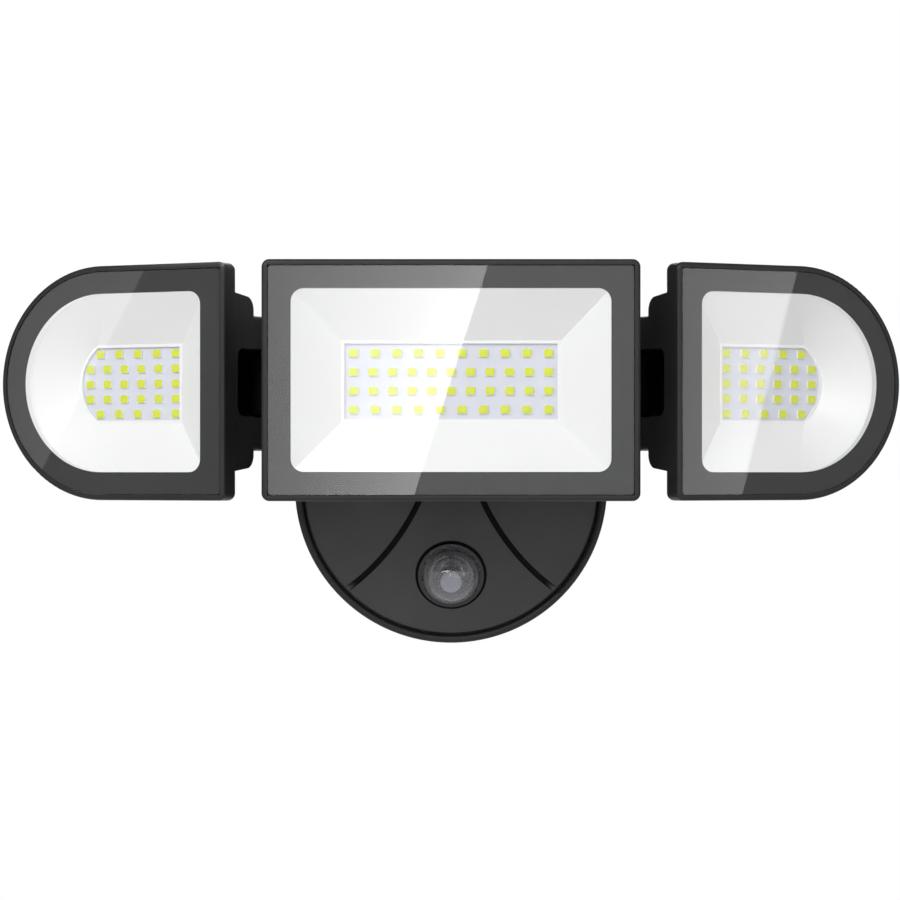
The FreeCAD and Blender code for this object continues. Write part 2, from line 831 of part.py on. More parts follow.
def make_arm():
    """The arm: two half shells. The rear one has the neck, and the front one has the lug that
    carries the centre head."""
    neck = cut(
        "neck_trimmed",
        cylinder("neck", "neck_radius", "arm_depth - rim_depth", 0, BACK_OF_RIM, "arm_height",
                 TOWARDS_ROOM),
        cylinder("neck_inside", "arm_radius - arm_wall", "80", -40, heading=TOWARDS_RIGHT, **ARM),
        sphere("neck_foot"),
    )
    stub = cylinder("stub", "stub_radius", "30", 0, "-22", "arm_height", TOWARDS_ROOM)
    bore = cylinder("neck_bore", "wire_bore", "42", 0, "-20", "arm_height", TOWARDS_ROOM)
    rear = fuse("rear_raw", arm_tube("rear"), neck, stub, *arm_boss("rear", True))
    rear = common("rear_half", rear, half_space("rear_space", True))
    keep(cut("arm_rear_shell", rear, bore, *arm_screw_ways("rear")), "arm_rear_shell")

    lug_round = cylinder("lug_round", "lug_radius", "2*lug_half_width", "-lug_half_width",
                         "-pivot_depth", "arm_height", TOWARDS_RIGHT)
    lug_web = box("lug_web", "2*lug_half_width", "pivot_depth - arm_depth - arm_radius + 2",
                  "2*lug_radius", 0, "-pivot_depth", "arm_height")
    lug_hole = cylinder("lug_hole", "pivot_bolt + running_gap", "40", -20, "-pivot_depth",
                        "arm_height", TOWARDS_RIGHT)
    front = fuse("front_raw", arm_tube("front"), *arm_boss("front", False))
    front = common("front_half", front, half_space("front_space", False))
    front = fuse("front_lugged", front, lug_round, lug_web)
    keep(cut("arm_front_shell", front, lug_hole, *arm_screw_ways("front")), "arm_front_shell")

    screws = [
        screw(f"arm_screw_{side}", "1.6", "15", "3.2", "2.2", f"{side}*arm_screw_offset",
              "-arm_depth + arm_radius - 0.3", "arm_height")
        for side in (-1, 1)
    ]
    keep(group("arm_screws", screws), "arm_screws")

    nut = cut(
        "neck_nut",
        hexagon("neck_nut_body", "16", "5", 0, "-23", "arm_height", TOWARDS_ROOM),
        cylinder("neck_nut_hole", "stub_radius", "10", 0, "-20", "arm_height", TOWARDS_ROOM),
    )
    keep(nut, "neck_nut")


# ---------------------------------------------------------------- lamp heads

class Head:
    """Which head a piece belongs to, and where that head stands."""

    def __init__(self, name, side):
        self.name = name
        self.side = side

    def label(self, piece):
        return f"{self.name}_{piece}"

    def place(self, thing):
        """Moves a piece from the head's own frame into the lamp's."""
        if self.side == 0:
            place(thing, 0, "-front_depth", "arm_height")
            return thing
        along = f"{self.side}*(pin_offset - pin_along*cos(side_yaw) + pin_back*sin(side_yaw))"
        back = "-arm_depth - pin_along*sin(side_yaw) - pin_back*cos(side_yaw)"
        place(thing, along, back, "arm_height", AXIS_Z, f"{self.side}*side_yaw")
        return thing

    def keep(self, thing, piece):
        keep(self.place(thing), self.label(piece))

    def sketch(self, body, name, depth):
        """A sketch parallel to the head's face, at a depth behind its front plane."""
        return new_sketch(body, self.label(name), offset=f"-({depth})")

    def outline(self, body, name, depth, inset="0", **options):
        sketch = self.sketch(body, name, depth)
        draw_head_outline(sketch, self.side, inset, **options)
        return sketch


def make_housing_body(head):
    """The die-cast housing: a flat plate round the glass, a shallower body behind it, and the
    hollow for the glass, the reflector and the LED board."""
    body = new_body(head.label("casting"))
    plate = pad(body, head.outline(body, "plate", "0"), "plate_depth", backward=True)
    corners = round_edges(body, plate, "3", lambda p, e: runs_along_depth(e) and is_corner(p, head))
    front = round_edges(body, corners, "rim_round", lambda p, e: abs(p.y) < 0.01)
    round_edges(body, front, "2.4", lambda p, e: abs(p.y - SIZES["plate_depth"]) < 0.01)

    flat = "0" if head.side else None
    taper = "body_half_height - body_taper"
    start = "plate_depth - 3"
    inset = "head_half_height - body_half_height"
    back_inset = f"head_half_height - ({taper})"
    front_outline = head.outline(body, "body_front", start, inset, flat_inset=flat)
    back_outline = head.outline(body, "body_back", "body_back", back_inset, flat_inset=flat)
    rear = loft(body, "Additive", front_outline, back_outline)
    round_edges(body, rear, "5.5", lambda p, e: is_back_edge(p, head))

    for name, depth, end, step in (
        ("glass_seat", "0", "ledge_depth", "rim"),
        ("lip", "ledge_depth", "lip_depth", "lip_inset"),
        ("hollow", "lip_depth", "hollow_depth", "hollow_inset"),
        ("well", "hollow_depth", "board_depth + board_thick", "well_inset"),
    ):
        pocket(body, head.outline(body, name, depth, step), f"{end} - {depth}", backward=False)
    return body


def is_corner(point, head):
    """True for the square corners of the plate, which are the ones that get rounded."""
    if head.side == 0:
        return True
    return abs(point.x) < 0.01


def is_back_edge(point, head):
    """True for the rounded edges of the body's back; a side head's flat end stays square."""
    on_back = abs(point.y - SIZES["body_back"]) < 0.01
    return on_back and (head.side == 0 or abs(point.x) > 0.01)


def board_screw_spots(head):
    if head.side == 0:
        return [(f"{x}*50", f"{z}*25") for x in (-1, 1) for z in (-1, 1)]
    return [(f"{head.side}*{u}", f"{z}*24.5") for u in (24, 66) for z in (-1, 1)]


def board_screw_ways(head):
    return [
        cylinder(head.label(f"screw_way_{index}"), "1.3", "body_back - board_depth + 0.3", x,
                 "board_depth - 1", z, TOWARDS_WALL)
        for index, (x, z) in enumerate(board_screw_spots(head))
    ]


def make_centre_housing(head):
    casting = make_housing_body(head)
    fins = []
    for side in (-1, 1):
        for index in range(5):
            x = f"{side}*({22 + 7*index})"
            fins.append(box(head.label(f"fin_{side}_{index}"), "2", "3", "48", x, "body_back - 1", 0))
    solid = fuse(head.label("finned"), casting, *fins)
    head.keep(cut(head.label("housing"), solid, *board_screw_ways(head)), "housing")


def make_centre_bracket(head):
    """A plate on the centre head's back with two ears that straddle the arm's lug."""
    pivot = "front_depth - pivot_depth"
    plate = box("bracket_plate", "34", "2.5", "26", 0, "body_back", 0)
    ears = []
    for side in (-1, 1):
        x = f"{side}*(lug_half_width + ear_thick/2 + 0.3)"
        start = f"{x} - ear_thick/2"
        ears.append(
            cylinder(f"ear_round_{side}", "ear_radius", "ear_thick", start, pivot, 0, TOWARDS_RIGHT)
        )
        ears.append(
            box(f"ear_web_{side}", "ear_thick", f"{pivot} - body_back", "2*ear_radius", x,
                "body_back", 0)
        )
    bolt_hole = cylinder("ear_holes", "pivot_bolt + 0.02", "40", -20, pivot, 0, TOWARDS_RIGHT)
    screw_holes = [
        cylinder(f"bracket_hole_{index}", "1.6", "8", x, "body_back - 2", z, TOWARDS_WALL)
        for index, (x, z) in enumerate(bracket_screw_spots())
    ]
    bracket = cut("bracket", fuse("bracket_raw", plate, *ears), bolt_hole, *screw_holes)
    head.keep(bracket, "bracket")

    screws = [
        screw(f"bracket_screw_{index}", "1.5", "2.5", "2.4", "1.6", x, "body_back + 2.5 + 1.6", z)
        for index, (x, z) in enumerate(bracket_screw_spots())
    ]
    head.keep(group("bracket_screws", screws), "bracket_screws")

    reach = "(lug_half_width + ear_thick + 0.3)"
    bolt = screw("pivot_bolt_solid", "pivot_bolt", f"2*{reach} + 4.5", "4.5", "3",
                 f"-{reach} - 3", pivot, 0, TOWARDS_RIGHT)
    head.keep(bolt, "pivot_bolt")
    nut = cut(
        "pivot_nut",
        hexagon("pivot_nut_body", "4.6", "4", reach, pivot, 0, TOWARDS_RIGHT),
        cylinder("pivot_nut_hole", "pivot_bolt", "6", reach, pivot, 0, TOWARDS_RIGHT),
    )
    head.keep(nut, "pivot_nut")


def bracket_screw_spots():
    return [(f"{x}*13.8", f"{z}*9.5") for x in (-1, 1) for z in (-1, 1)]


def make_side_housing(head):
    """A side head's housing, with the yoke that holds the arm's knuckle cast on its back."""
    casting = make_housing_body(head)
    yoke = make_yoke_block(head)
    solid = fuse(head.label("with_yoke"), casting, yoke)
    side = head.side
    pin = (f"{side}*pin_along", "pin_back")
    slot = make_slot(head)
    cable_way = make_cable_way(head)
    bolt_way = cylinder(head.label("bolt_way"), "yaw_bolt + 0.02", "60", *pin, -30)
    head_way = cylinder(head.label("head_way"), "5.6", "6", *pin, "yoke_half_height - 4.4")
    nut_way = hexagon(head.label("nut_way"), "5.9", "6", *pin, "-yoke_half_height - 2")
    tools = [slot, cable_way, bolt_way, head_way, nut_way, *board_screw_ways(head)]
    head.keep(cut(head.label("housing"), solid, *tools), "housing")


def make_slot(head):
    """The gap between the yoke's cheeks. It is open towards the arm and the wall, and a web
    joins the cheeks on the side away from the arm."""
    reach = "(pin_along + knuckle_radius + joint_gap)"
    return box(head.label("slot"), "60", "60", "2*slot_half_height", f"{head.side}*({reach} - 30)",
               "body_back", 0)


def make_yoke_block(head):
    """The yoke seen from above: flush with the head's flat end, round about the yaw bolt and
    running out along the housing's back."""
    side = head.side
    body = new_body(head.label("yoke"))
    sketch = new_sketch(body, head.label("yoke_outline"), "XY_Plane", "-yoke_half_height")
    near = f"{side}*(pin_along - yoke_radius)"
    far = f"{side}*(pin_along + yoke_radius + web_thick)"
    shoulder = "pin_back - 12"
    round_start = (f"{side}*(pin_along + 6)", "pin_back + sqrt(yoke_radius^2 - 36)")
    draw_loop(
        sketch,
        [
            ("0", "body_back - 2.2"),
            (f"{side}*36", "body_back - 2.2"),
            (f"{side}*36", "body_back + 1"),
            (far, "pin_back - 6"),
            (far, "pin_back + web_end"),
            round_start,
            (near, "pin_back"),
            (near, f"{shoulder} + 8"),
            ("0", shoulder),
        ],
        arcs={5: (f"{side}*pin_along", "pin_back")},
    )
    block = pad(body, sketch, "2*yoke_half_height")
    round_edges(body, block, "1.6", lambda p, e: is_yoke_rim(p))
    return body


def is_yoke_rim(point):
    """The yoke's top and bottom edges, away from where it runs into the housing."""
    on_rim = min(abs(point.z), abs(point.z - 2 * SIZES["yoke_half_height"])) < 0.01
    on_rim = on_rim or abs(abs(point.z) - SIZES["yoke_half_height"]) < 0.01
    return on_rim and point.y > SIZES["body_back"] - 2.1


def make_cable_way(head):
    """A recess in the head's flat end that the lamp's lead passes through."""
    body = new_body(head.label("cable_way"))
    sketch = new_sketch(body, head.label("cable_outline"), "YZ_Plane", f"-{head.side}")
    half_height = "slot_half_height - 0.3"
    draw_rectangle(sketch, "plate_depth + 0.3", "body_back + 1", f"-({half_height})", half_height)
    feature = pad(body, sketch, "slot_depth + 1", backward=head.side < 0)
    round_edges(body, feature, "4", lambda p, e: is_front_corner(p))
    return body


def is_front_corner(point):
    """The recess's two edges nearest the glass, which run into the head."""
    near_front = point.y < SIZES["plate_depth"] + 0.4
    return near_front and abs(point.z) > SIZES["slot_half_height"] - 0.4


def make_yaw_bolt(head):
    side = head.side
    pin = (f"{side}*pin_along", "pin_back")
    bolt = screw(head.label("bolt"), "yaw_bolt", "2*yoke_half_height - 10", "5.4", "3.4", *pin,
                 "yoke_half_height - 1", (AXIS_X, 180))
    head.keep(bolt, "yaw_bolt")
    nut = cut(
        head.label("nut"),
        hexagon(head.label("nut_body"), "5.7", "3.4", *pin, "-yoke_half_height + 0.5"),
        cylinder(head.label("nut_hole"), "yaw_bolt", "6", *pin, "-yoke_half_height"),
    )
    head.keep(nut, "yaw_nut")


def make_glass(head):
    glass = new_body(head.label("glass"))
    pane = head.outline(glass, "pane", "glass_front", "rim + 0.2")
    sheet_pad = pad(glass, pane, "glass_thick", backward=True)
    round_edges(
        glass, sheet_pad, "1.2", lambda p, e: runs_along_depth(e) and is_pane_corner(p, head)
    )
    head.keep(glass, "glass")

    gasket = new_body(head.label("gasket"))
    sketch = head.outline(gasket, "gasket_outer", "glass_front + glass_thick", "rim + 0.4")
    draw_head_outline(sketch, head.side, "gasket_inset")
    pad(gasket, sketch, "ledge_depth - glass_front - glass_thick", backward=True)
    head.keep(gasket, "gasket")


def is_pane_corner(point, head):
    return head.side == 0 or abs(point.x) < SIZES["rim"] + 0.3


def draw_aperture(sketch, head, margin="0"):
    """The opening in the reflector's floor, drawn with the same sides as the head's outline."""
    if head.side == 0:
        draw_centred(sketch, f"aperture_half_width + {margin}", f"aperture_half_height + {margin}")
        return
    side = head.side
    near, far = f"{side}*(side_aperture_start - ({margin}))", f"{side}*side_aperture_end"
    top = f"side_aperture_half_height + {margin}"
    draw_loop(
        sketch,
        [(near, f"-({top})"), (far, f"-({top})"), (far, top), (near, top)],
        arcs={1: (f"{side}*side_aperture_centre", "0")},
    )


def make_reflector(head):
    """A white tray: a flat flange under the glass, sloping walls, and a small step round the
    opening over the LED board."""
    tray = new_body(head.label("reflector"))
    flange = head.outline(tray, "flange", "reflector_front", "flange_inset")
    pad(tray, flange, "reflector_skin", backward=True)
    walls = (("Additive", "reflector_skin", "wall"), ("Subtractive", "0", "inside"))
    for kind, skin, name in walls:
        top = head.outline(tray, name + "_top", "reflector_front", f"reflector_edge - {skin}")
        bottom = head.sketch(tray, name + "_bottom", "board_depth - aperture_lip")
        draw_aperture(bottom, head, f"aperture_lip + {skin}")
        loft(tray, kind, top, bottom)
    lip = head.sketch(tray, "lip", "board_depth - aperture_lip")
    draw_aperture(lip, head, "aperture_lip + reflector_skin")
    draw_aperture(lip, head)
    pad(tray, lip, "aperture_lip", backward=True)
    head.keep(tray, "reflector")


def make_led_board(head):
    board = new_body(head.label("led_board"))
    sketch = head.sketch(board, "board_outline", "board_depth")
    if head.side == 0:
        draw_centred(sketch, "board_half_width", "board_half_height")
    else:
        draw_head_outline(sketch, head.side, "side_board_inset")
    for x, z in board_screw_spots(head):
        draw_circle(sketch, "1.4", x, z)
    pad(board, sketch, "board_thick", backward=True)
    head.keep(board, "led_board")

    screws = [
        screw(head.label(f"board_screw_{index}"), "1.25", "body_back - board_depth - 1.1", "2.4",
              "1.5", x, "board_depth - 1.5", z, TOWARDS_WALL)
        for index, (x, z) in enumerate(board_screw_spots(head))
    ]
    head.keep(group(head.label("board_screws"), screws), "board_screws")


def led_spots(head):
    """Where each LED package stands on its board."""
    rows = SIDE_ROWS if head.side else CENTRE_ROWS
    row_pitch = SIDE_ROW_PITCH if head.side else CENTRE_ROW_PITCH
    spots = []
    for row, count in enumerate(rows):
        z = ((len(rows) - 1) / 2 - row) * row_pitch
        for index in range(count):
            if head.side:
                x = head.side * (SIDE_ROW_START + index * SIDE_LED_PITCH[count])
            else:
                x = CENTRE_ROW_HALF * (2 * index / (count - 1) - 1)
            spots.append((round(x, 3), round(z, 3)))
    return spots


def make_leds(head):
    packages = [
        box(head.label(f"led_{index}"), "led_length", "led_thick", "led_width", x,
            "board_depth - led_thick", z)
        for index, (x, z) in enumerate(led_spots(head))
    ]
    head.keep(group(head.label("leds"), packages), "leds")


# ---------------------------------------------------------------- knuckles

def make_knuckle(name, side):
    """The joint between the arm and a side head: a collar on the arm's end that tilts, and an
    upright drum inside the head's yoke that lets the head turn."""
    drum = new_body(f"{name}_drum")
    sketch = new_sketch(drum, f"{name}_drum_circle", "XY_Plane", "-knuckle_half_height")
    draw_circle(sketch, "knuckle_radius")
    upright = pad(drum, sketch, "2*knuckle_half_height")
    round_edges(drum, upright, "3", lambda p, e: len(e.Vertexes) == 1)
    place(drum, f"{side}*pin_offset", **ARM)

    start = "(arm_half_length + joint_gap)"
    heading = (AXIS_Y, 90 * side)
    collar = cylinder(f"{name}_collar", "arm_radius", "5", f"{side}*{start}", heading=heading, **ARM)
    stem = cylinder(f"{name}_stem", "stem_radius", f"pin_offset - {start}", f"{side}*{start}",
                    heading=heading, **ARM)
    bolt_way = cylinder(f"{name}_yaw_way", "yaw_bolt + running_gap", "40", f"{side}*pin_offset",
                        "-arm_depth", "arm_height - 20")
    thread = cylinder(f"{name}_thread", "tilt_bolt", "9", f"{side}*{start}", heading=heading, **ARM)
    solid = fuse(f"{name}_solid", drum, collar, stem)
    keep(cut(f"{name}_knuckle", solid, bolt_way, thread), f"{name}_knuckle")

    head_start = f"{side}*(arm_half_length - end_wall - 4.2)"
    bolt = screw(f"{name}_bolt", "tilt_bolt", "end_wall + joint_gap + 8.5", "6.6", "4", head_start,
                 "-arm_depth", "arm_height", heading)
    keep(bolt, f"{name}_tilt_bolt")


# ---------------------------------------------------------------- the whole lamp

def make_canopy():
    make_wall_gasket()
    make_base_housing()
    make_base_cover()
    make_rear_plate()
    make_crossbar()
    make_canopy_screws()
    make_cover_screws()
    make_driver()
    make_supply_grommet()


def make_head(head):
    if head.side == 0:
        make_centre_housing(head)
        make_centre_bracket(head)
    else:
        make_side_housing(head)
        make_yaw_bolt(head)
    make_glass(head)
    make_reflector(head)
    make_led_board(head)
    make_leds(head)


def check_document():
    doc.recompute()
    for thing in doc.Objects:
        if "Invalid" in thing.State or "Error" in thing.State:
            raise RuntimeError(f"{thing.Name} is {thing.State}")
    for thing in finished:
        if thing.Shape.isNull() or not thing.Shape.isValid():
            raise RuntimeError(f"{thing.Label} has no valid shape")


def write_parts():
    os.makedirs("parts", exist_ok=True)
    for thing in finished:
        thing.Shape.exportStep(f"parts/{thing.Label}.step")


fill_sheet()
make_canopy()
make_sensor()
make_arm()
for name, side in (("left", -1), ("right", 1)):
    make_knuckle(name, side)
for name, side in (("center", 0), ("left", -1), ("right", 1)):
    make_head(Head(name, side))
check_document()
write_parts()
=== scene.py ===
import json
import math

import bmesh
import bpy
from mathutils import Matrix, Vector


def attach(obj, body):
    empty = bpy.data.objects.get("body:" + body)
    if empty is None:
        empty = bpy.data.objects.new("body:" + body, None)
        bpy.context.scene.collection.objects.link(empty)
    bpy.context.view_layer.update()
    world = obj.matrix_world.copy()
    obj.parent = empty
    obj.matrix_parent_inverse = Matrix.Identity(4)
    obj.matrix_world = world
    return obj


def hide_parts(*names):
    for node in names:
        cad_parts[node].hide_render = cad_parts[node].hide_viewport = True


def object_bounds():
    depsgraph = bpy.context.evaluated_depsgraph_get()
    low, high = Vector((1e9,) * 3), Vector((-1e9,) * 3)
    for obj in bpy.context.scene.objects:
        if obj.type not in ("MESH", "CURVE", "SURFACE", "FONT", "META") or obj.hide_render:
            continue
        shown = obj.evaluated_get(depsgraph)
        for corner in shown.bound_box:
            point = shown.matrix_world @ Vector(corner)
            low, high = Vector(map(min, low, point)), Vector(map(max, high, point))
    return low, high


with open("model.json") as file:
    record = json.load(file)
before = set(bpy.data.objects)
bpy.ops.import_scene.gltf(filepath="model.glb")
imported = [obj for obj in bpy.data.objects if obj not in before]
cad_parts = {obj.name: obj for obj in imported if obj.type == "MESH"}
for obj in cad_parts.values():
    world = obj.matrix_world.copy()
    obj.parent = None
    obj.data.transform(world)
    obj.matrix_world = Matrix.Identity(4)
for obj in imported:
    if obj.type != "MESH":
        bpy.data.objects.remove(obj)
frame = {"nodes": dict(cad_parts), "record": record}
cad_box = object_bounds()

MM = 0.001
HEADS = ("center", "left", "right")
OUTWARD = {"center": 0, "left": -1, "right": 1}
SIDE_YAW = math.radians(25)


# ------------------------------------------------------------------ node trees

# Noise keeps mostly to this span of its values.
NOISE_SPAN = (0.3, 0.7)

# Painted shade in grooves and where parts meet: in a crevice the sky is at most half open, and on
# a plain surface nearly all of it is.
CREVICE_SPAN = (0.5, 0.9)
CREVICE_SHADE = 0.15
PLAIN_SHEEN = 0.5


def map_range(tree, source, low, high, to_low, to_high):
    """Maps a socket's values from low..high to to_low..to_high, and returns the new socket."""
    node = tree.nodes.new("ShaderNodeMapRange")
    for socket, value in (
        ("From Min", low), ("From Max", high), ("To Min", to_low), ("To Max", to_high),
    ):
        node.inputs[socket].default_value = value
    tree.links.new(source, node.inputs["Value"])
    return node.outputs["Result"]


def multiply(tree, first, second):
    """The product of a socket and another socket or a number."""
    node = tree.nodes.new("ShaderNodeMath")
    node.operation = "MULTIPLY"
    tree.links.new(first, node.inputs[0])
    if isinstance(second, float):
        node.inputs[1].default_value = second
    else:
        tree.links.new(second, node.inputs[1])
    return node.outputs["Value"]


class Finish:
    """A material under construction. Keyword arguments set its main shader's own sockets."""

    def __init__(self, name, colour=(1, 1, 1), **sockets):
        self.material = bpy.data.materials.new(name)
        self.material.use_nodes = True
        self.tree = self.material.node_tree
        self.shader = self.tree.nodes["Principled BSDF"]
        self.output = self.tree.nodes["Material Output"]
        self.place = self.add("ShaderNodeTexCoord").outputs["Object"]
        self.shader.inputs["Base Color"].default_value = (*colour, 1)
        for socket, value in sockets.items():
            self.shader.inputs[socket.replace("_", " ")].default_value = value

    def add(self, kind, **inputs):
        node = self.tree.nodes.new(kind)
        for socket, value in inputs.items():
            node.inputs[socket].default_value = value
        return node

    def link(self, start, end):
        self.tree.links.new(start, end)

    def noise(self, scale, detail=3.0, stretch=None):
        """Noise in the object's own space; scale is in features per metre."""
        node = self.add("ShaderNodeTexNoise", Scale=scale, Detail=detail)
        start = self.place
        if stretch:
            mapping = self.add("ShaderNodeMapping", Scale=stretch)
            self.link(start, mapping.inputs["Vector"])
            start = mapping.outputs["Vector"]
        self.link(start, node.inputs["Vector"])
        return node.outputs["Fac"]

    def spread(self, source, low, high):
        """Maps noise to a range."""
        return map_range(self.tree, source, *NOISE_SPAN, low, high)

    def vary_roughness(self, source, low, high):
        self.link(self.spread(source, low, high), self.shader.inputs["Roughness"])

    def vary_colour(self, source, first, second):
        """Drifts between two colours, and returns the mixed colour's socket."""
        mix = self.tree.nodes.new("ShaderNodeMix")
        mix.data_type = "RGBA"
        colours = [socket for socket in mix.inputs if socket.type == "RGBA"]
        for socket, colour in zip(colours, (first, second)):
            socket.default_value = (*colour, 1)
        self.link(self.spread(source, 0, 1), mix.inputs["Factor"])
        mixed = next(socket for socket in mix.outputs if socket.type == "RGBA")
        self.link(mixed, self.shader.inputs["Base Color"])
        return mixed

    def paint_crevice_shade(self, colour, reach):
        """Paints shade into grooves narrower than a reach and into gaps between parts: takes
        colour and sheen away where ambient occlusion finds the sky closed.
        """
        sky = self.add("ShaderNodeAmbientOcclusion", Distance=reach)
        openness = map_range(self.tree, sky.outputs["AO"], *CREVICE_SPAN, CREVICE_SHADE, 1.0)
        sheen = multiply(self.tree, openness, PLAIN_SHEEN)
        self.link(sheen, self.shader.inputs["Specular IOR Level"])
        dark = self.add("ShaderNodeVectorMath")
        dark.operation = "SCALE"
        self.link(colour, dark.inputs["Vector"])
        self.link(openness, dark.inputs["Scale"])
        self.link(dark.outputs["Vector"], self.shader.inputs["Base Color"])

    def bump(self, source, height, strength=1.0):
        node = self.add("ShaderNodeBump", Strength=strength, Distance=height)
        self.link(source, node.inputs["Height"])
        self.link(node.outputs["Normal"], self.shader.inputs["Normal"])


# ------------------------------------------------------------------ finishes

def grey(value):
    """A grey with a trace of blue."""
    return (value, value, value * 1.02)


def powder_coat():
    """Satin black powder coat: a fine orange peel and faint cloudiness."""
    finish = Finish("cast_black", Specular_IOR_Level=0.38)
    finish.vary_colour(finish.noise(60), grey(0.012), grey(0.016))
    finish.vary_roughness(finish.noise(400), 0.36, 0.5)
    finish.bump(finish.noise(1400, 2), 0.04 * MM, 0.5)
    return finish.material


def moulded_cover():
    """Fine-textured black plastic with deep grooves, which get painted shade."""
    finish = Finish("cover_black")
    colour = finish.vary_colour(finish.noise(40), grey(0.034), grey(0.039))
    # Painted shade: colour and sheen are darkened in the grooves and where other parts come
    # close.
    finish.paint_crevice_shade(colour, 4 * MM)
    finish.vary_roughness(finish.noise(700), 0.44, 0.56)
    finish.bump(finish.noise(2600, 2), 0.03 * MM, 0.6)
    return finish.material


def glossy_black():
    """Polished black plastic."""
    finish = Finish("collar_black", grey(0.012))
    finish.vary_roughness(finish.noise(300), 0.2, 0.32)
    finish.bump(finish.noise(900), 0.01 * MM, 0.4)
    return finish.material


def printed_border(name, shade):
    """Black enamel printed on the glass. Its shade is given per glass, and the differences
    between the glasses are painted light and shade.
    """
    finish = Finish(name, Specular_IOR_Level=0.15)
    finish.vary_colour(finish.noise(300, 1), grey(shade * 0.96), grey(shade * 1.04))
    finish.vary_roughness(finish.noise(500), 0.55, 0.65)
    return finish.material


def clear_pane(name, roughness=0.01, tint=(0.97, 0.98, 0.975), clarity=1.0):
    """Glass or plastic. Shadow and diffuse rays pass straight through it, so that the light
    reaches what is behind."""
    finish = Finish(name, tint, Transmission_Weight=clarity, IOR=1.47)
    finish.vary_roughness(finish.noise(20), roughness * 0.6, roughness * 1.4)
    clear = finish.add("ShaderNodeBsdfTransparent")
    path = finish.add("ShaderNodeLightPath")
    passes_through = finish.add("ShaderNodeMath")
    passes_through.operation = "MAXIMUM"
    mix = finish.add("ShaderNodeMixShader")
    finish.link(path.outputs["Is Shadow Ray"], passes_through.inputs[0])
    finish.link(path.outputs["Is Diffuse Ray"], passes_through.inputs[1])
    finish.link(passes_through.outputs["Value"], mix.inputs["Fac"])
    finish.link(finish.shader.outputs["BSDF"], mix.inputs[1])
    finish.link(clear.outputs["BSDF"], mix.inputs[2])
    finish.link(mix.outputs["Shader"], finish.output.inputs["Surface"])
    return finish.material


def white_reflector():
    """Satin white plastic."""
    finish = Finish("reflector_white")
    finish.vary_colour(finish.noise(30), (0.81, 0.81, 0.81), (0.83, 0.83, 0.83))
    finish.vary_roughness(finish.noise(80), 0.32, 0.46)
    finish.bump(finish.noise(500, 2), 0.02 * MM, 0.3)
    return finish.material


def solder_mask():
    """The faintly blue white lacquer of an LED board."""
    finish = Finish("led_board_white")
    finish.vary_colour(finish.noise(120), (0.62, 0.63, 0.7), (0.66, 0.67, 0.74))
    finish.vary_roughness(finish.noise(900), 0.4, 0.52)
    return finish.material


def led_case():
    """The white plastic of an LED's case."""
    finish = Finish("led_case_white", (0.85, 0.85, 0.86))
    finish.vary_roughness(finish.noise(1500), 0.35, 0.5)
    finish.bump(finish.noise(3000), 0.01 * MM, 0.4)
    return finish.material


def phosphor():
    """The yellow resin of an LED, with fine grain."""
    finish = Finish("led_phosphor")
    finish.vary_colour(finish.noise(3500), (0.6, 0.67, 0.003), (0.65, 0.72, 0.006))
    finish.vary_roughness(finish.noise(2500), 0.22, 0.4)
    return finish.material


def plated_steel(name, colour, low, high):
    """Plated steel with fine drawn lines, whose roughness lies between low and high."""
    finish = Finish(name, Metallic=1.0)
    finish.vary_colour(finish.noise(200), colour, tuple(part * 0.85 for part in colour))
    finish.vary_roughness(finish.noise(900, 4), low, high)
    finish.bump(finish.noise(1500, 3, (1, 12, 1)), 0.01 * MM, 0.4)
    return finish.material


def rubber():
    """Black foam rubber."""
    finish = Finish("foam_rubber", grey(0.02))
    finish.vary_roughness(finish.noise(600), 0.7, 0.9)
    finish.bump(finish.noise(1500, 4), 0.08 * MM, 0.6)
    return finish.material


def moulded(name, first, second, roughness):
    """Moulded plastic or lacquer that drifts between two colours."""
    finish = Finish(name)
    finish.vary_colour(finish.noise(300), first, second)
    finish.vary_roughness(finish.noise(800), roughness * 0.85, roughness * 1.15)
    finish.bump(finish.noise(1800), 0.02 * MM, 0.4)
    return finish.material


FINISHES = {
    "cast_black": powder_coat(),
    "cover_black": moulded_cover(),
    "collar_black": glossy_black(),
    "bracket_black": moulded("bracket_black", grey(0.02), grey(0.026), 0.45),
    "zinc_steel": plated_steel("zinc_steel", (0.55, 0.56, 0.57), 0.25, 0.45),
    "screw_steel": plated_steel("screw_steel", (0.35, 0.35, 0.36), 0.22, 0.4),
    "foam_rubber": rubber(),
    "circuit_board": moulded("circuit_board", (0.03, 0.14, 0.05), (0.04, 0.18, 0.07), 0.35),
    "component_black": moulded("component_black", grey(0.03), grey(0.05), 0.5),
    "terminal_green": moulded("terminal_green", (0.05, 0.28, 0.09), (0.07, 0.33, 0.12), 0.4),
    "clear_dome": clear_pane("clear_dome", 0.03, (0.94, 0.94, 0.99), 0.95),
    "cell_grey": moulded("cell_grey", (0.2, 0.2, 0.23), (0.25, 0.25, 0.29), 0.5),
    "clear_glass": clear_pane("clear_glass"),
    "reflector_white": white_reflector(),
    "led_board_white": solder_mask(),
    "led_phosphor": phosphor(),
}
# One print on every glass, painted in three shades: lighter on the centre glass and darker on the
# side glasses, standing in for the light and reflections that fall on each.
PAINTED_BORDER_SHADES = {
    "center": printed_border("printed_black", 0.07),
    "left": printed_border("printed_black_left", 0.028),
    "right": printed_border("printed_black_right", 0.034),
}
LED_CASE = led_case()


def dress_nodes():
    """Gives every CAD node the detailed finish of its material slot."""
    slots = {part["node"]: part["material_slot"] for part in frame["record"]["subparts"]}
    for name, thing in frame["nodes"].items():
        for slot in thing.material_slots:
            slot.material = FINISHES[slots[name]]


# ------------------------------------------------------------------ shared shape tools

